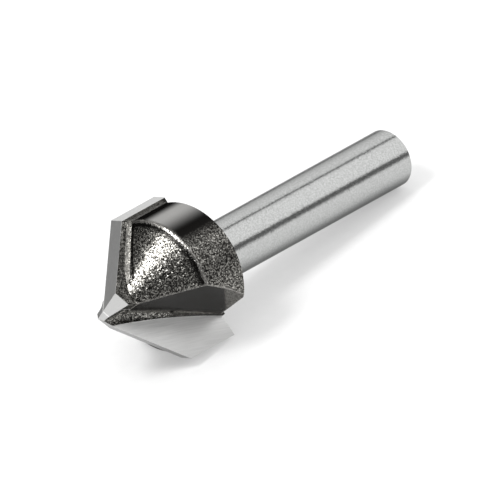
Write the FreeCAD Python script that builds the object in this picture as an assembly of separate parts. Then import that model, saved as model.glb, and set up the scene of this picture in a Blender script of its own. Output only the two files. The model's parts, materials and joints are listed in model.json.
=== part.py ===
import FreeCAD, Part
import math
import os

# A two-flute V groove router bit with a plain shank and two brazed carbide plates.
# Lengths are millimetres, angles are degrees.
# The tool is modelled on its own axis first: X runs from the tip to the shank end, plate A
# stands on the +Z side with its cutting face towards +Y, and plate B is plate A turned half
# a turn about X. At the end the whole tool is laid down as it rests on a table.

# Overall sizes, along the axis from the point where the two V edges would meet
total_length = 45.0
cutting_diameter = 15.875
v_angle = 90.0

# Shank
shank_diameter = 6.0
shank_end_chamfer = 0.4
shank_root_radius = 0.8

# Head of the steel body
plate_stand_out = 0.9375
head_rear = 14.2
head_rim_chamfer = 0.2
cone_setback = 1.8

# Carbide plates
plate_thickness = 1.7
plate_rear = 14.6
plate_inner_start = 1.7
plate_inner_drop = 1.7
plate_inner_slope = 26.1

# Chip gullets
gullet_wall_depth = 0.38
gullet_corner_radius = 0.9
gullet_floor_radius = 120.0
gullet_floor_start = 3.0
gullet_floor_start_height = 0.52
gullet_floor_rear_height = 5.50
web_half_width = 0.40

# Grinding of the plates
rake_depth = 0.49
rake_wheel_radius = 75.0
rake_run_start = 1.36
rake_run_start_height = 1.30
rake_run_rear_height = 5.70
v_relief = 23.0
side_relief = 29.0
tip_facet_lean = 56.5
tip_facet_turn = 22.0

# Braze
braze_gap = 0.1
braze_fillet = 0.45
bead_start = 0.4

# How far round from plate A's cutting edge the head's rim touches the table
rest_roll = 38.0

# Derived sizes
shank_radius = shank_diameter / 2
cutting_radius = cutting_diameter / 2
head_radius = cutting_radius - plate_stand_out
v_slope = math.tan(math.radians(v_angle / 2))
v_end = cutting_radius / v_slope
cone_end = cone_setback + head_radius / v_slope
plate_back = plate_thickness + braze_gap
nose_start = cone_setback + plate_back / v_slope
half_angle = math.radians(v_angle / 2)
tip_x = -rake_depth * math.tan(math.radians(v_relief)) / math.sin(half_angle)
run_out = cutting_radius
reach = 2 * cutting_diameter

axis_x = FreeCAD.Vector(1, 0, 0)
axis_y = FreeCAD.Vector(0, 1, 0)
tool_origin = FreeCAD.Vector(0, 0, 0)


def at(x, z, y=0.0):
    return FreeCAD.Vector(x, y, z)


def face_of(edges):
    return Part.Face(Part.Wire(edges))


def polygon_face(points):
    return Part.Face(Part.makePolygon(points + points[:1]))


def half_turn(shape):
    """The same shape for the opposite flute."""
    turned = shape.copy()
    turned.rotate(tool_origin, axis_x, 180)
    return turned


def half_space(point, normal):
    """A large block that starts at a plane and lies on the side its normal points to."""
    block = Part.makeBox(2 * reach, 2 * reach, 2 * reach, FreeCAD.Vector(-reach, -reach, 0))
    turn = FreeCAD.Rotation(FreeCAD.Vector(0, 0, 1), normal)
    block.Placement = FreeCAD.Placement(point, turn)
    return block


def wheel_path(x0, z0, x1, z1, radius):
    """The face above a wheel's arc through two points, which runs on past both of them."""
    chord = math.hypot(x1 - x0, z1 - z0)
    rise = math.sqrt(radius ** 2 - chord ** 2 / 4)
    centre = at((x0 + x1) / 2 - rise * (z1 - z0) / chord, (z0 + z1) / 2 + rise * (x1 - x0) / chord)
    first = math.atan2(z0 - centre.z, x0 - centre.x) - run_out / radius
    last = math.atan2(z1 - centre.z, x1 - centre.x) + run_out / radius
    start, middle, end = [
        centre + at(math.cos(angle), math.sin(angle)) * radius
        for angle in (first, (first + last) / 2, last)
    ]
    top_end = at(end.x, reach)
    top_start = at(start.x, reach)
    return face_of([
        Part.Arc(start, middle, end).toShape(),
        Part.makeLine(end, top_end),
        Part.makeLine(top_end, top_start),
        Part.makeLine(top_start, start),
    ])


def turned_blank():
    """Shank and head as they come off the lathe, before any flute is cut."""
    root = shank_radius + shank_root_radius
    end = total_length - shank_end_chamfer
    bend = shank_root_radius * (1 - math.sqrt(0.5))
    nose_radius = (nose_start - cone_setback) * v_slope
    root_arc = Part.Arc(
        at(head_rear, root),
        at(head_rear + bend, shank_radius + bend),
        at(head_rear + shank_root_radius, shank_radius),
    )
    front = Part.makePolygon([
        at(nose_start, 0),
        at(nose_start, nose_radius),
        at(cone_end, head_radius),
        at(head_rear - head_rim_chamfer, head_radius),
        at(head_rear, head_radius - head_rim_chamfer),
        at(head_rear, root),
    ])
    rear = Part.makePolygon([
        at(head_rear + shank_root_radius, shank_radius),
        at(end, shank_radius),
        at(total_length, shank_radius - shank_end_chamfer),
        at(total_length, 0),
        at(nose_start, 0),
    ])
    section = Part.Face(Part.Wire(front.Edges + [root_arc.toShape()] + rear.Edges))
    return section.revolve(tool_origin, axis_x, 360)


def rounded_cutter(face, wall_y, radius):
    """A cutter that works down to a flat wall, with its edge rounded along the floor."""
    cutter = face.extrude(axis_y * reach)
    cutter.translate(axis_y * wall_y)
    low = cutter.BoundBox.ZMin + 0.9 * reach
    corner = [
        edge for edge in cutter.Edges
        if edge.BoundBox.YMax < wall_y + 1e-3 and edge.BoundBox.ZMax < low
        and edge.BoundBox.XLength > reach / 4
    ]
    return cutter.makeFillet(radius, corner)


def gullet():
    """Everything that the flute cutters take away in front of plate A."""
    floor = wheel_path(
        gullet_floor_start, gullet_floor_start_height,
        head_rear, gullet_floor_rear_height, gullet_floor_radius,
    )
    web = polygon_face([
        at(-run_out, web_half_width), at(reach, web_half_width), at(reach, reach),
        at(-run_out, reach),
    ])
    flute = rounded_cutter(floor, -gullet_wall_depth, gullet_corner_radius)
    return flute.common(rounded_cutter(web, -gullet_wall_depth, gullet_corner_radius))


def plate_outline(margin=0.0):
    """Outline of the plate's blank, larger by the margin on its inner edge."""
    slope = math.radians(plate_inner_slope)
    drop = plate_inner_drop + margin / math.cos(slope)
    front = -plate_inner_drop
    front_z = (front - plate_inner_start) * math.tan(slope) - drop
    rear_z = (plate_rear - plate_inner_start) * math.tan(slope) - drop
    return polygon_face([
        at(front, front_z), at(plate_rear, rear_z), at(plate_rear, reach), at(front, reach),
    ])


def plate_blank():
    return plate_outline().extrude(axis_y * -plate_thickness)


def seat():
    """Slot that the plate is brazed into, one braze gap larger at its back and its foot."""
    return plate_outline(braze_gap).extrude(axis_y * -plate_back)


def rake_grind():
    """The ground cutting face: a shallow cut that ends on the wheel's edge."""
    path = wheel_path(
        rake_run_start, rake_run_start_height,
        plate_rear, rake_run_rear_height, rake_wheel_radius,
    )
    cutter = path.extrude(axis_y * reach)
    cutter.translate(axis_y * -rake_depth)
    return cutter


def v_relief_grind():
    """Waste beyond the flat ground behind the V edge."""
    outward = at(-math.sin(half_angle), math.cos(half_angle))
    relief = math.radians(v_relief)
    normal = outward * math.cos(relief) - axis_y * math.sin(relief)
    return half_space(at(0, 0, -rake_depth), normal)


def side_relief_grind():
    """Waste beyond the flat ground behind the plate's straight outer edge."""
    relief = math.radians(side_relief)
    normal = at(0, math.cos(relief)) - axis_y * math.sin(relief)
    return half_space(at(0, cutting_radius, -rake_depth), normal)


def tip_facet_grind():
    """Waste beyond the small facet that thins the back of plate A's tip."""
    lean = math.radians(tip_facet_lean)
    turn = math.radians(tip_facet_turn)
    forward = at(-math.cos(lean) * math.cos(turn), -math.cos(lean) * math.sin(turn))
    normal = forward - axis_y * math.sin(lean)
    return half_space(at(tip_x, 0), normal)


def cut_all(shape, cutters):
    for cutter in cutters:
        shape = shape.cut(cutter)
    return shape


def largest_solid(shape):
    return max(shape.Solids, key=lambda solid: solid.Volume)


def steel_body():
    cutters = [gullet(), seat(), rake_grind()]
    return largest_solid(cut_all(turned_blank(), cutters + [half_turn(c) for c in cutters]))


def carbide_plate():
    """Plate A, with the cuts of its own flute and those of plate B that reach its nose."""
    shared = [gullet(), v_relief_grind(), tip_facet_grind()]
    cutters = shared + [half_turn(cutter) for cutter in shared]
    return largest_solid(cut_all(plate_blank(), cutters + [rake_grind(), side_relief_grind()]))


def bead_section(x, size):
    """Section of the braze bead where the plate's back meets the turned head."""
    radius = min((x - cone_setback) * v_slope, head_radius)
    corner = math.asin(plate_thickness / radius)
    turned = corner + size / radius
    foot_z = radius * math.cos(corner)
    on_plate = at(x, foot_z + size, -plate_thickness)
    on_head = at(x, radius * math.cos(turned), -radius * math.sin(turned))
    hollow = at(x, foot_z + size / 4, -plate_thickness - size / 3)
    under_head = at(x, foot_z - 2 * size, on_head.y)
    under_plate = at(x, foot_z - 2 * size, -plate_thickness)
    return Part.Wire([
        Part.Arc(on_plate, hollow, on_head).toShape(),
        Part.makeLine(on_head, under_head),
        Part.makeLine(under_head, under_plate),
        Part.makeLine(under_plate, on_plate),
    ])


def braze_bead():
    """Braze drawn by surface tension into the corner behind plate A."""
    first = nose_start + bead_start
    rear = head_rear - head_rim_chamfer
    sections = [bead_section(first, braze_fillet / 4)]
    for share in (0.15, 0.45, 1.0):
        sections.append(bead_section(first + share * (cone_end - first), braze_fillet))
    sections.append(bead_section(rear, braze_fillet))
    return Part.makeLoft(sections, True, True).cut(turned_blank())


def braze_seam():
    """Braze behind and under plate A, with the bead along the plate's back."""
    layer = seat().cut(plate_blank()).common(turned_blank())
    seam = layer.fuse(braze_bead())
    return largest_solid(cut_all(seam, [gullet(), half_turn(gullet()), rake_grind()]))


def place_at_rest(shapes):
    """Lay the tool on the rim of its head and the rim of its shank end."""
    rim_at = head_rear - head_rim_chamfer
    end_at = total_length - shank_end_chamfer
    slope = (head_radius - shank_radius) / (end_at - rim_at)
    for shape in shapes:
        shape.rotate(tool_origin, axis_x, 180 - rest_roll)
        shape.rotate(tool_origin, axis_y, math.degrees(math.atan(slope)))
    points = [point for shape in shapes for point in shape.tessellate(0.005)[0]]
    mid_x = (min(p.x for p in points) + max(p.x for p in points)) / 2
    mid_y = (min(p.y for p in points) + max(p.y for p in points)) / 2
    low_z = min(p.z for p in points)
    for shape in shapes:
        shape.translate(FreeCAD.Vector(-mid_x, -mid_y, -low_z))


body = steel_body()
plate_a = carbide_plate()
seam_a = braze_seam()
nodes = {
    "steel_body": body,
    "carbide_plate_a": plate_a,
    "carbide_plate_b": half_turn(plate_a),
    "braze_seam_a": seam_a,
    "braze_seam_b": half_turn(seam_a),
}

os.makedirs("parts", exist_ok=True)
place_at_rest(list(nodes.values()))
for name, shape in nodes.items():
    shape.exportStep("parts/" + name + ".step")
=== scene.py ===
import json
import math

import bpy
import numpy as np
from mathutils import Matrix, Vector

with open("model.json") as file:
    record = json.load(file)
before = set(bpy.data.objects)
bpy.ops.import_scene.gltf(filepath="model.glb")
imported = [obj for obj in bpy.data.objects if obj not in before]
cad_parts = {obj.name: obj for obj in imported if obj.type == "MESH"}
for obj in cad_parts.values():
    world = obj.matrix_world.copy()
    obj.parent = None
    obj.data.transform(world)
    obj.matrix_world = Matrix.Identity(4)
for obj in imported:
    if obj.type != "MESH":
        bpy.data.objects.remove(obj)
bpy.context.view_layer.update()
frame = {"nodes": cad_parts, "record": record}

# The body: one bar of tool steel, turned to a 45 degree cone and a short cylinder, with its shank ground.
# Each side has a chip gullet milled to the web. The head is blasted with coarse grit and blackened, and
# handling has rubbed its edges back to bare steel.
mm = 0.001
roll = math.radians(38.0)
shank_middle = 29.8
shank_start = 14.9
head_rear = 14.2
head_radius = 7.0
cone_end = 8.8
cone_setback = 1.8
gullet_wall = -0.38
floor_start, floor_end = (3.0, 0.52), (head_rear, 5.50)
wheel_radius = 120.0
bead_outside = 2.27

# The bit's own frame: x runs from the sharp point to the shank, z to cutting edge A, and y out of its rake
# face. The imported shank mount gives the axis, and the roll says how far the bit lies turned on the table.
mount = next(m for m in frame["record"]["mounts"] if m["name"] == "shank")
axis = Vector(mount["axis"]).normalized()
tip = Vector(mount["pos_m"]) - axis * shank_middle * mm
level = Vector((0, 1, 0))
upright = axis.cross(level)
edge_a = -math.sin(roll) * level - math.cos(roll) * upright
rake_normal = math.sin(roll) * upright - math.cos(roll) * level
bit_frame = Matrix((axis, rake_normal, edge_a)).transposed()


def linear(colour):
    """An sRGB hex colour as linear red, green, blue and alpha."""
    parts = [int(colour[i:i + 2], 16) / 255 for i in (1, 3, 5)]
    return (*[p / 12.92 if p <= 0.04045 else ((p + 0.055) / 1.055) ** 2.4 for p in parts], 1.0)


def node(tree, kind, inputs=(), out=0, **settings):
    """Adds one node with its settings, links or sets its inputs by place or name, and gives one output."""
    made = tree.nodes.new("ShaderNode" + kind)
    for name, value in settings.items():
        setattr(made, name, value)
    for place, value in (inputs.items() if isinstance(inputs, dict) else enumerate(inputs)):
        if isinstance(value, bpy.types.NodeSocket):
            tree.links.new(value, made.inputs[place])
        elif value is not None:
            made.inputs[place].default_value = value
    return made.outputs[out]


def new_finish(name, turned=False):
    """A material with a Principled shader, and a point in millimetres of the bit's own frame.

    The mapping undoes the frame's place and turn. Turned gives the half turn about the axis for side B."""
    material = bpy.data.materials.new(name)
    material.use_nodes = True
    tree = material.node_tree
    flip = Matrix.Rotation(math.pi, 3, "X") if turned else Matrix.Identity(3)
    where = node(tree, "TexCoord", out="Object")
    point = node(tree, "Mapping", {"Vector": where, "Location": tip,
                                   "Rotation": (bit_frame @ flip).to_euler(), "Scale": (mm, mm, mm)},
                 vector_type="TEXTURE")
    return material, tree, tree.nodes["Principled BSDF"], point


def wheel_centre(start, end, radius):
    """Centre of the circle of that radius through two points, on the side away from the axis."""
    start, end = np.array(start), np.array(end)
    run = end - start
    half = np.linalg.norm(run) / 2
    out = np.array([-run[1], run[0]]) / (2 * half)
    return (start + end) / 2 + out * math.sqrt(radius ** 2 - half ** 2)


# Grit marks are drawn 0.11 mm across, coarser than real ones, so that they show. How steep and how bright
# each one is are random numbers raised to a power, which keeps most marks shallow and dark.
grit_size = 0.11
shallow, steepest = 0.42, 2.8
steep_power = 3.0
shade_power = 3.0
coat_dark, coat_bright = "#2B2A28", "#C6C4BE"


def grit_marks(tree, point, strength):
    """The blasting: a random shade for each grit mark, and the face's normal leaned each mark's own way.

    The leaning goes straight into the normal, because a bump this fine would be lost between two pixels."""
    marks = node(tree, "TexVoronoi", {"Vector": point, "Scale": 1 / grit_size}, out="Color")
    lean = node(tree, "VectorMath", (marks, (0.5, 0.5, 0.5)), operation="SUBTRACT")
    shade, chance, _ = node(tree, "SeparateColor", (marks,)).node.outputs
    steep = node(tree, "Math", (chance, steep_power), operation="POWER")
    steep = node(tree, "MapRange", (steep, 0.0, 1.0, shallow, steepest))
    strength = node(tree, "Math", (steep, strength), operation="MULTIPLY")
    lean = node(tree, "VectorMath", {0: lean, "Scale": strength}, operation="SCALE")
    facing = node(tree, "NewGeometry", out="Normal")
    leaned = node(tree, "VectorMath", (facing, lean), operation="ADD")
    return shade, node(tree, "VectorMath", (leaned,), operation="NORMALIZE")


# Blasted and blackened tool steel, ground bright on the shank: the coat is a dark metal, each grit mark is a
# small facet that catches the lamp its own way, the milled gullet floor is smoother, and the shank mirrors
# in soft bands. The masks' limits below are in millimetres.
body_finish, tree, shader, point = new_finish("blasted_black_and_ground_steel")
along, out_y, out_z = node(tree, "SeparateXYZ", (point,)).node.outputs
radius = node(tree, "CombineXYZ", (0.0, out_y, out_z))
radius = node(tree, "VectorMath", (radius,), out="Value", operation="LENGTH")
which_side = node(tree, "Math", (out_z,), operation="SIGN")
side_y = node(tree, "Math", (out_y, which_side), operation="MULTIPLY")
side_z = node(tree, "Math", (out_z,), operation="ABSOLUTE")

# How far the point lies from the gullet's floor, the turned surface, the rear face and the ring at the cone's
# end. The ring counts as nearer than it is, so that its worn line shows wider.
ring_nearness, ring_lead = 0.7, -0.02
flat = node(tree, "CombineXYZ", (along, side_z, 0.0))
floor_middle = wheel_centre(floor_start, floor_end, wheel_radius)
from_middle = node(tree, "VectorMath", (flat, (*floor_middle, 0.0)), out="Value", operation="DISTANCE")
floor_gap = node(tree, "Math", (from_middle, wheel_radius), operation="SUBTRACT")
floor_gap = node(tree, "Math", (floor_gap,), operation="ABSOLUTE")
past_wall = node(tree, "Math", (gullet_wall, side_y), operation="SUBTRACT")
floor_gap = node(tree, "Math", (floor_gap, past_wall), operation="MAXIMUM")
cone_radius = node(tree, "Math", (along, cone_setback), operation="SUBTRACT")
turned_radius = node(tree, "Math", (cone_radius, head_radius), operation="MINIMUM")
turned_gap = node(tree, "Math", (radius, turned_radius), operation="SUBTRACT")
turned_gap = node(tree, "Math", (turned_gap,), operation="ABSOLUTE")
rear_gap = node(tree, "Math", (along, head_rear), operation="SUBTRACT")
rear_gap = node(tree, "Math", (rear_gap,), operation="ABSOLUTE")
ring_gap = node(tree, "Math", (along, cone_end), operation="SUBTRACT")
ring_gap = node(tree, "Math", (ring_gap,), operation="ABSOLUTE")
ring_gap = node(tree, "Math", (ring_gap, ring_nearness, ring_lead), operation="MULTIPLY_ADD")
ring_gap = node(tree, "Math", (ring_gap, turned_gap), operation="MAXIMUM")
lip_gap = node(tree, "Math", (turned_gap, rear_gap), operation="MINIMUM")
lip_gap = node(tree, "Math", (lip_gap, floor_gap), operation="MAXIMUM")
edge_gap = node(tree, "Math", (ring_gap, lip_gap), operation="MINIMUM")

# Where the head is, and the gullet's smooth floor. The wheel's run-out at the floor's rear corner was blasted
# again, so it is kept apart from the floor.
coat_line = 0.03
floor_fade = 0.04, 0.10
skin_fade = 0.02, 0.10
run_out_slant = 0.64
run_out_fade = 14.65, 14.85
on_head = node(tree, "MapRange", (along, shank_start - coat_line, shank_start + coat_line, 1.0, 0.0))
in_floor = node(tree, "MapRange", (floor_gap, *floor_fade, 1.0, 0.0))
under_skin = node(tree, "MapRange", (turned_gap, *skin_fade))
in_floor = node(tree, "Math", (in_floor, under_skin), operation="MULTIPLY")
run_out = node(tree, "Math", (side_y, run_out_slant, along), operation="MULTIPLY_ADD")
run_out = node(tree, "MapRange", (run_out, *run_out_fade))
run_out = node(tree, "Math", (in_floor, run_out), operation="MULTIPLY")
in_floor = node(tree, "Math", (in_floor, run_out), operation="SUBTRACT")

# Wear on the head's edges reaches further in some patches than in others.
patch_size = 0.2
patch_levels = 0.35, 0.65
wear_reach = 0.02, 0.11
wear_fade = 0.04
patchy = node(tree, "TexNoise", {"Vector": point, "Scale": 1 / patch_size, "Detail": 1.0})
edge_reach = node(tree, "MapRange", (patchy, *patch_levels, *wear_reach))
past_reach = node(tree, "Math", (edge_gap, edge_reach), operation="SUBTRACT")
worn = node(tree, "MapRange", (past_reach, 0.0, wear_fade, 1.0, 0.0))
worn = node(tree, "Math", (worn, on_head), operation="MULTIPLY")

# The cylinder behind each plate is sheltered by it, so the blast left it smooth.
sheltered_above = 1.0, 2.6
sheltered_behind = 0.5
sheltered_side = -0.8, -0.4
sheltered = node(tree, "MapRange", (side_z, *sheltered_above))
behind_cone = node(tree, "MapRange", (along, cone_end, cone_end + sheltered_behind))
sheltered = node(tree, "Math", (sheltered, behind_cone), operation="MULTIPLY")
behind_plate = node(tree, "MapRange", (side_y, *sheltered_side, 1.0, 0.0))
sheltered = node(tree, "Math", (sheltered, behind_plate), operation="MULTIPLY")

# How strongly the grit marks lean: more on the cylinder than on the cone, little where it is sheltered, none
# on the milled floor, and a trace on the shank for the sparkle of its grinding.
cone_grit, cylinder_grit = 0.22, 0.34
gullet_grit = 0.22
sheltered_grit = 0.06
shank_grit = 0.035
ring_blend = 0.1
gullet_fade = 0.05, 0.15
off_floor = node(tree, "Math", (1.0, in_floor), operation="SUBTRACT")
blasted = node(tree, "Math", (on_head, off_floor), operation="MULTIPLY")
strength = node(tree, "MapRange", (along, cone_end - ring_blend, cone_end + ring_blend,
                                   cone_grit, cylinder_grit))
strength = node(tree, "Mix", {0: sheltered, 2: strength, 3: sheltered_grit})
in_gullet = node(tree, "MapRange", (turned_gap, *gullet_fade))
strength = node(tree, "Mix", {0: in_gullet, 2: strength, 3: gullet_grit})
strength = node(tree, "Math", (blasted, strength), operation="MULTIPLY")
sparkle = node(tree, "Mix", {0: on_head, 2: shank_grit, 3: 0.0})
strength = node(tree, "Math", (strength, sparkle), operation="ADD")
shade, grit_normal = grit_marks(tree, point, strength)

# The black coat: speckled where it was blasted, with a painted sheen (a paler band standing for a reflection)
# on the sheltered cylinder, and even and paler on the gullet's wall and on the run-out.
sheen_rise = 3.2, 5.2
sheen_fall = 5.5, 6.3
brightness = node(tree, "Math", (shade, shade_power), operation="POWER")
coat = node(tree, "Mix", {0: brightness, 6: linear(coat_dark), 7: linear(coat_bright)},
            out=2, data_type="RGBA")
painted_sheen = node(tree, "MapRange", (side_z, *sheen_rise), interpolation_type="SMOOTHSTEP")
foot = node(tree, "MapRange", (side_z, *sheen_fall, 1.0, 0.0), interpolation_type="SMOOTHSTEP")
painted_sheen = node(tree, "Math", (painted_sheen, foot), operation="MULTIPLY")
smooth_coat_painted_sheen = node(tree, "Mix", {0: painted_sheen, 6: linear("#242322"), 7: linear("#BDBCBA")},
                   out=2, data_type="RGBA")
coat = node(tree, "Mix", {0: sheltered, 6: coat, 7: smooth_coat_painted_sheen}, out=2, data_type="RGBA")
even_coat = node(tree, "Mix", {0: shade, 6: linear("#4C4B48"), 7: linear("#8A8883")}, out=2, data_type="RGBA")
coat = node(tree, "Mix", {0: in_gullet, 6: coat, 7: even_coat}, out=2, data_type="RGBA")
pale_coat = node(tree, "Mix", {0: shade, 6: linear("#5A5956"), 7: linear("#AAA8A4")}, out=2, data_type="RGBA")
coat = node(tree, "Mix", {0: run_out, 6: coat, 7: pale_coat}, out=2, data_type="RGBA")

# Painted shade: the coat is blackest in the corner beside each braze bead. It is also darkest just before
# the ring at the cone's end.
bead_fade = 0.06, 0.16
bead_shade_depth = 0.9
bead_above = 0.9, 1.6
ring_corner = 0.7
ring_corner_full = 0.35
ring_corner_cut = 0.02
ring_dark = 0.95
bead_painted_shade = node(tree, "Math", (side_y, bead_outside), operation="ADD")
bead_painted_shade = node(tree, "Math", (bead_painted_shade,), operation="ABSOLUTE")
bead_painted_shade = node(tree, "MapRange", (bead_painted_shade, *bead_fade, bead_shade_depth, 0.0))
beside = node(tree, "MapRange", (side_z, *bead_above))
bead_painted_shade = node(tree, "Math", (bead_painted_shade, beside), operation="MULTIPLY")
coat = node(tree, "Mix", {0: bead_painted_shade, 6: coat, 7: linear("#151413")}, out=2, data_type="RGBA")
by_ring = node(tree, "MapRange", (along, cone_end - ring_corner, cone_end - ring_corner_full))
up_to_ring = node(tree, "MapRange", (along, cone_end - ring_corner_cut, cone_end, ring_dark, 0.0))
by_ring = node(tree, "Math", (by_ring, up_to_ring), operation="MULTIPLY")
coat = node(tree, "Mix", {0: by_ring, 6: coat, 7: linear("#1C1B1A")}, out=2, data_type="RGBA")

# The milled floor is dark with faint clouds, the worn edges are bare, and the shank shows fine grinding
# rings, drawn 0.15 mm apart, coarser than real ones, so that they show.
cloud_size = 5 / 3
ring_pitch, ring_reach = 0.15, 2.0
noise_levels = 0.3, 0.7
ring_height_mm = 0.001
clouds = node(tree, "TexNoise", {"Vector": point, "Scale": 1 / cloud_size, "Detail": 2.0})
milled = node(tree, "Mix", {0: clouds, 6: linear("#2A2927"), 7: linear("#3B3A38")}, out=2, data_type="RGBA")
rubbed = node(tree, "Mix", {0: shade, 6: linear("#6E6C69"), 7: linear("#B4B2AE")}, out=2, data_type="RGBA")
head = node(tree, "Mix", {0: in_floor, 6: coat, 7: milled}, out=2, data_type="RGBA")
head = node(tree, "Mix", {0: worn, 6: head, 7: rubbed}, out=2, data_type="RGBA")
rings = node(tree, "Mapping", {"Vector": point, "Scale": (ring_pitch, ring_reach, ring_reach)},
             vector_type="TEXTURE")
rings = node(tree, "TexNoise", {"Vector": rings, "Scale": 1.0, "Detail": 3.0, "Roughness": 0.6})
steel = node(tree, "Mix", {0: shade, 6: linear("#AEAFAE"), 7: linear("#BFC0BF")}, out=2, data_type="RGBA")
colour = node(tree, "Mix", {0: on_head, 6: steel, 7: head}, out=2, data_type="RGBA")
tree.links.new(colour, shader.inputs["Base Color"])

# The oxide on the milled floor is partly metallic, and all the rest is metal.
oxide_metallic = 0.6
coat_rough, sheltered_rough, floor_rough = 0.30, 0.46, 0.24
shank_rough = 0.14, 0.18
oxide = node(tree, "Math", (in_floor, on_head), operation="MULTIPLY")
metallic = node(tree, "Mix", {0: oxide, 2: 1.0, 3: oxide_metallic})
tree.links.new(metallic, shader.inputs["Metallic"])
head_rough = node(tree, "Mix", {0: sheltered, 2: coat_rough, 3: sheltered_rough})
head_rough = node(tree, "Mix", {0: in_floor, 2: head_rough, 3: floor_rough})
steel_rough = node(tree, "MapRange", (rings, *noise_levels, *shank_rough))
rough = node(tree, "Mix", {0: on_head, 2: steel_rough, 3: head_rough})
tree.links.new(rough, shader.inputs["Roughness"])
shader.inputs["Specular Tint"].default_value = linear("#9C9C9C")
on_shank = node(tree, "Math", (1.0, on_head), operation="SUBTRACT")
ring_height = node(tree, "Math", (rings, on_shank), operation="MULTIPLY")
bump = node(tree, "Bump", {"Distance": ring_height_mm * mm, "Height": ring_height, "Normal": grit_normal},
            out="Normal")
tree.links.new(bump, shader.inputs["Normal"])


def smooth_faces(piece):
    """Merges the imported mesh's loose triangles for display and shades them smooth, but for sharp edges."""
    closest = 1e-7
    sharp_angle = math.radians(25)
    group = bpy.data.node_groups.get("merged_and_smooth")
    if group is None:
        group = bpy.data.node_groups.new("merged_and_smooth", "GeometryNodeTree")
        group.interface.new_socket("Geometry", in_out="INPUT", socket_type="NodeSocketGeometry")
        group.interface.new_socket("Geometry", in_out="OUTPUT", socket_type="NodeSocketGeometry")
        add, link = group.nodes.new, group.links.new
        start, end = add("NodeGroupInput"), add("NodeGroupOutput")
        merge = add("GeometryNodeMergeByDistance")
        merge.inputs["Distance"].default_value = closest
        angle = add("GeometryNodeInputMeshEdgeAngle")
        sharp = add("FunctionNodeCompare")
        sharp.data_type = "FLOAT"
        sharp.operation = "GREATER_THAN"
        sharp.inputs[1].default_value = sharp_angle
        faces, edges = add("GeometryNodeSetShadeSmooth"), add("GeometryNodeSetShadeSmooth")
        edges.domain = "EDGE"
        edges.inputs["Shade Smooth"].default_value = False
        link(start.outputs[0], merge.inputs["Geometry"])
        link(merge.outputs["Geometry"], faces.inputs["Geometry"])
        link(faces.outputs["Geometry"], edges.inputs["Geometry"])
        link(angle.outputs["Unsigned Angle"], sharp.inputs[0])
        link(sharp.outputs["Result"], edges.inputs["Selection"])
        link(edges.outputs["Geometry"], end.inputs[0])
    piece.modifiers.new("merged_and_smooth", "NODES").node_group = group
    even = piece.modifiers.new("flat_faces_stay_flat", "WEIGHTED_NORMAL")
    even.keep_sharp = True


body = frame["nodes"]["steel_body"]
body.material_slots[0].material = body_finish
smooth_faces(body)


# The cutting plates: two plates of cemented carbide, one half turn apart, brazed into their seats and then
# ground on a diamond wheel on the rake face, the two relief faces and the tip facet. Their backs keep the
# black coat.
cutting_radius = 7.9375
rake_plane = -0.49
v_relief = math.tan(math.radians(23)) * math.sqrt(2)
side_relief = math.tan(math.radians(29))
tip_start = -0.294
tip_facet_normal = Vector((-0.51, -0.83, -0.21)).normalized()
ground_fade = 0.02, 0.04

# The marks of the wheel run across the rake face. They are drawn 0.16 mm wide, wider than real ones, so that
# they show. The rake face is more satin than the rest, with painted shade a little darker towards its corner.
mark_angle = math.radians(-14)
mark_length, mark_width = 3.0, 0.16
mark_height_mm = 0.0008
corner_fade = 4.5, 7.5
corner_shade_depth = 0.67
relief_metallic, rake_metallic = 0.95, 0.65
ground_rough = 0.30, 0.34
rake_rougher = 0.12
back_rough = 0.32

# The black back is speckled beside the cone, and painted shade makes it darker on the cylinder.
back_grit = 0.36
back_shade_depth = 0.85
shade_start = 0.6


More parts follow.
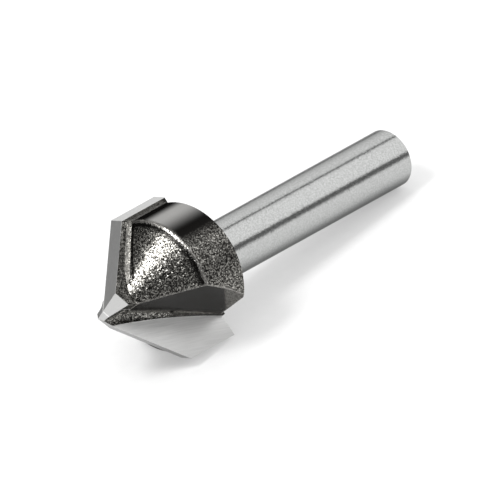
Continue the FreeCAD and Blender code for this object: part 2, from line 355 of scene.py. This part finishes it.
def carbide_finish(name, turned):
    """Carbide ground on a fine diamond wheel: an even light grey with straight close marks, and a black back.

    A face is ground where the point lies on one of the four ground planes of the plate."""
    material, tree, shader, point = new_finish(name, turned)
    planes = (
        (Vector((0, 1, 0)), Vector((0, rake_plane, 0))),
        (Vector((1, v_relief, -1)).normalized(), Vector((0, rake_plane, 0))),
        (Vector((0, side_relief, -1)).normalized(), Vector((0, rake_plane, cutting_radius))),
        (tip_facet_normal, Vector((tip_start, 0, 0))),
    )
    faces = []
    for normal, foot in planes:
        off = node(tree, "VectorMath", (point, foot), operation="SUBTRACT")
        off = node(tree, "VectorMath", (off, normal), out="Value", operation="DOT_PRODUCT")
        here = node(tree, "Math", (off,), operation="ABSOLUTE")
        faces.append(node(tree, "MapRange", (here, *ground_fade, 1.0, 0.0)))
    rake, on_v_relief, on_side_relief, on_tip_facet = faces
    ground = rake
    for face in (on_v_relief, on_side_relief, on_tip_facet):
        ground = node(tree, "Math", (ground, face), operation="MAXIMUM")
    marks = node(tree, "Mapping", {"Vector": point, "Rotation": (0, mark_angle, 0),
                                   "Scale": (mark_length, mark_width, mark_width)}, vector_type="TEXTURE")
    marks = node(tree, "TexNoise", {"Vector": marks, "Scale": 1.0, "Detail": 3.0, "Roughness": 0.55})
    marks = node(tree, "MapRange", (marks, *noise_levels))
    satin = node(tree, "Mix", {0: marks, 6: linear("#D9D9D8"), 7: linear("#E9E9E8")}, out=2, data_type="RGBA")
    along, _, out_z = node(tree, "SeparateXYZ", (point,)).node.outputs
    # Painted shade: darker towards the rake face's corner.
    corner_painted_shade = node(tree, "MapRange", (out_z, *corner_fade, 1.0, corner_shade_depth))
    satin = node(tree, "VectorMath", {0: satin, "Scale": corner_painted_shade}, operation="SCALE")
    bright = node(tree, "Mix", {0: marks, 6: linear("#BCBCBB"), 7: linear("#C3C3C2")},
                  out=2, data_type="RGBA")
    # The side relief is painted paler than the other ground faces, a painted highlight.
    bright = node(tree, "Mix", {0: on_side_relief, 6: bright, 7: linear("#DADAD9")}, out=2, data_type="RGBA")
    bright = node(tree, "Mix", {0: rake, 6: bright, 7: satin}, out=2, data_type="RGBA")
    unground = node(tree, "Math", (1.0, ground), operation="SUBTRACT")
    strength = node(tree, "Math", (unground, back_grit), operation="MULTIPLY")
    shade, grit_normal = grit_marks(tree, point, strength)
    brightness = node(tree, "Math", (shade, shade_power), operation="POWER")
    coat = node(tree, "Mix", {0: brightness, 6: linear(coat_dark), 7: linear(coat_bright)},
                out=2, data_type="RGBA")
    # Painted shade: the back is drawn darker where it runs along the cylinder.
    rear_painted_shade = node(tree, "MapRange", (along, cone_end - shade_start, cone_end, 0.0, back_shade_depth))
    coat = node(tree, "Mix", {0: rear_painted_shade, 6: coat, 7: linear("#2A2927")}, out=2, data_type="RGBA")
    colour = node(tree, "Mix", {0: ground, 6: coat, 7: bright}, out=2, data_type="RGBA")
    tree.links.new(colour, shader.inputs["Base Color"])
    metallic = node(tree, "Mix", {0: rake, 2: relief_metallic, 3: rake_metallic})
    tree.links.new(metallic, shader.inputs["Metallic"])
    shader.inputs["Specular Tint"].default_value = linear("#CCCCCC")
    rough = node(tree, "MapRange", (marks, 0.0, 1.0, *ground_rough))
    rougher = node(tree, "Math", (rake, rake_rougher), operation="MULTIPLY")
    rough = node(tree, "Math", (rough, rougher), operation="ADD")
    rough = node(tree, "Mix", {0: ground, 2: back_rough, 3: rough})
    tree.links.new(rough, shader.inputs["Roughness"])
    mark_height = node(tree, "Math", (marks, ground), operation="MULTIPLY")
    bump = node(tree, "Bump", {"Distance": mark_height_mm * mm, "Height": mark_height, "Normal": grit_normal},
                out="Normal")
    tree.links.new(bump, shader.inputs["Normal"])
    return material


for side, turned in (("a", False), ("b", True)):
    plate = frame["nodes"]["carbide_plate_" + side]
    plate.material_slots[0].material = carbide_finish("ground_carbide_" + side, turned)
    smooth_faces(plate)


# The braze: silver braze that ran out along the foot of each plate's back and was left as a low, uneven bead,
# then blasted with the head. It shines beside the cone, and painted shade makes it dark on the cylinder.
blob_size = 0.5
blob_height_mm = 0.06
braze_grit = 0.5
braze_shade_depth = 0.8
braze_rough = 0.35, 0.5
braze_finish, tree, shader, point = new_finish("blasted_silver_braze")
blobs = node(tree, "TexNoise", {"Vector": point, "Scale": 1 / blob_size, "Detail": 2.0})
shade, grit_normal = grit_marks(tree, point, braze_grit)
braze_colour = node(tree, "Mix", {0: shade, 6: linear("#74726D"), 7: linear("#C4C2BD")},
                    out=2, data_type="RGBA")
along = node(tree, "SeparateXYZ", (point,))
# Painted shade: the braze is drawn dark where it runs along the cylinder.
rear_painted_shade = node(tree, "MapRange", (along, cone_end - shade_start, cone_end, 0.0, braze_shade_depth))
braze_colour = node(tree, "Mix", {0: rear_painted_shade, 6: braze_colour, 7: linear("#3A3936")}, out=2, data_type="RGBA")
tree.links.new(braze_colour, shader.inputs["Base Color"])
shader.inputs["Metallic"].default_value = 1.0
rough = node(tree, "MapRange", (blobs, *noise_levels, *braze_rough))
tree.links.new(rough, shader.inputs["Roughness"])
bump = node(tree, "Bump", {"Distance": blob_height_mm * mm, "Height": blobs, "Normal": grit_normal},
            out="Normal")
tree.links.new(bump, shader.inputs["Normal"])
for side in "ab":
    seam = frame["nodes"]["braze_seam_" + side]
    seam.material_slots[0].material = braze_finish
    smooth_faces(seam)


# The table: a plain sheet of white paper under the bit. It glows a little, so that its shadows stay pale as
# in a white studio, and it dims far from the bit, which gives the shank something darker to mirror.
table_half = 0.5
pulp_size = 1.25
dims_from, dims_to = 0.055, 0.14
dimmed = 0.48
glow = 0.32
table_mesh = bpy.data.meshes.new("table")
corners = [(-table_half, -table_half, 0), (table_half, -table_half, 0), (table_half, table_half, 0),
           (-table_half, table_half, 0)]
table_mesh.from_pydata(corners, [], [(0, 1, 2, 3)])
table = bpy.data.objects.new("table", table_mesh)
bpy.context.scene.collection.objects.link(table)
paper, tree, shader, point = new_finish("white_paper")
pulp = node(tree, "TexNoise", {"Vector": point, "Scale": 1 / pulp_size, "Detail": 3.0})
white = node(tree, "Mix", {0: pulp, 6: linear("#AEAEAE"), 7: linear("#B4B4B4")}, out=2, data_type="RGBA")
from_bit = node(tree, "TexCoord", out="Object")
from_bit = node(tree, "VectorMath", (from_bit,), out="Value", operation="LENGTH")
lit = node(tree, "MapRange", (from_bit, dims_from, dims_to, 1.0, dimmed), interpolation_type="SMOOTHSTEP")
white = node(tree, "VectorMath", {0: white, "Scale": lit}, operation="SCALE")
tree.links.new(white, shader.inputs["Base Color"])
shader.inputs["Emission Color"].default_value = linear("#FFFFFF")
glowing = node(tree, "Math", (lit, glow), operation="MULTIPLY")
tree.links.new(glowing, shader.inputs["Emission Strength"])
shader.inputs["Roughness"].default_value = 0.9
shader.inputs["Specular IOR Level"].default_value = 0.1
table_mesh.materials.append(paper)


# The light: a studio with a small strong lamp high on the left. Two soft panels stand beyond the shank, one
# hangs overhead and one stands at the right, in a white room that metal mirrors as dim.
def panel(name, towards, distance, size, radiance):
    """A rectangular lamp in that direction from the bit, facing it, with that radiance."""
    lamp = bpy.data.lights.new(name, "AREA")
    lamp.shape = "RECTANGLE"
    lamp.size, lamp.size_y = size
    lamp.energy = radiance * math.pi * size[0] * size[1]
    thing = bpy.data.objects.new(name, lamp)
    towards = Vector(towards).normalized()
    thing.location = towards * distance
    thing.rotation_euler = towards.to_track_quat("Z", "Y").to_euler()
    bpy.context.scene.collection.objects.link(thing)


panel("lamp_high_left", (-0.522, 0.085, 0.849), 0.45, (0.12, 0.12), 30.0)
panel("panel_beyond_right", (0.80, -0.36, 0.55), 0.6, (0.51, 0.42), 1.12)
panel("panel_beyond_left", (0.75, 0.54, 0.37), 0.6, (0.41, 0.44), 1.05)
panel("panel_overhead", (0.10, 0.35, 0.93), 0.7, (0.5, 0.4), 0.9)
panel("panel_right", (-0.27, -0.90, 0.33), 0.6, (0.40, 0.3), 1.3)
room_strength = 1.15
room = bpy.data.worlds.new("room")
room.use_nodes = True
room.cycles.sampling_method = "NONE"
tree = room.node_tree
mirrored = node(tree, "LightPath", out="Is Glossy Ray")
sky = node(tree, "Mix", {0: mirrored, 6: linear("#FFFFFF"), 7: linear("#6D6D6D")}, out=2, data_type="RGBA")
tree.links.new(sky, tree.nodes["Background"].inputs["Color"])
tree.nodes["Background"].inputs["Strength"].default_value = room_strength
bpy.context.scene.world = room
bpy.context.scene.view_settings.view_transform = "Standard"


# The camera: it looks down on the rake face from in front of the point, as in the photograph, with no
# perspective. The lean and turn are taken from the bit's own frame, and the tilt is the picture's own.
view_lean = math.radians(47.4)
view_turn = math.radians(5.33)
tilt_cos, tilt_sin = 0.87505, 0.48403
pixel = 0.0995 * mm
frame_pixels = 480
aim_rise = 15.96 * mm
aim_shift = 0.033 * mm
camera_distance = 0.35
across = edge_a * math.cos(view_turn) - rake_normal * math.sin(view_turn)
facing = edge_a * math.sin(view_turn) + rake_normal * math.cos(view_turn)
rising = axis * math.sin(view_lean) + facing * math.cos(view_lean)
back = facing * math.sin(view_lean) - axis * math.cos(view_lean)
right = rising * tilt_cos + across * tilt_sin
up = rising * tilt_sin - across * tilt_cos
aim = tip + rising * aim_rise - across * aim_shift
turn = Matrix((right, up, back)).transposed().to_4x4()
camera_data = bpy.data.cameras.new("camera")
camera_data.type = "ORTHO"
camera_data.ortho_scale = frame_pixels * pixel
camera = bpy.data.objects.new("camera", camera_data)
camera.matrix_world = Matrix.Translation(aim + back * camera_distance) @ turn
bpy.context.scene.collection.objects.link(camera)
bpy.context.scene.camera = camera
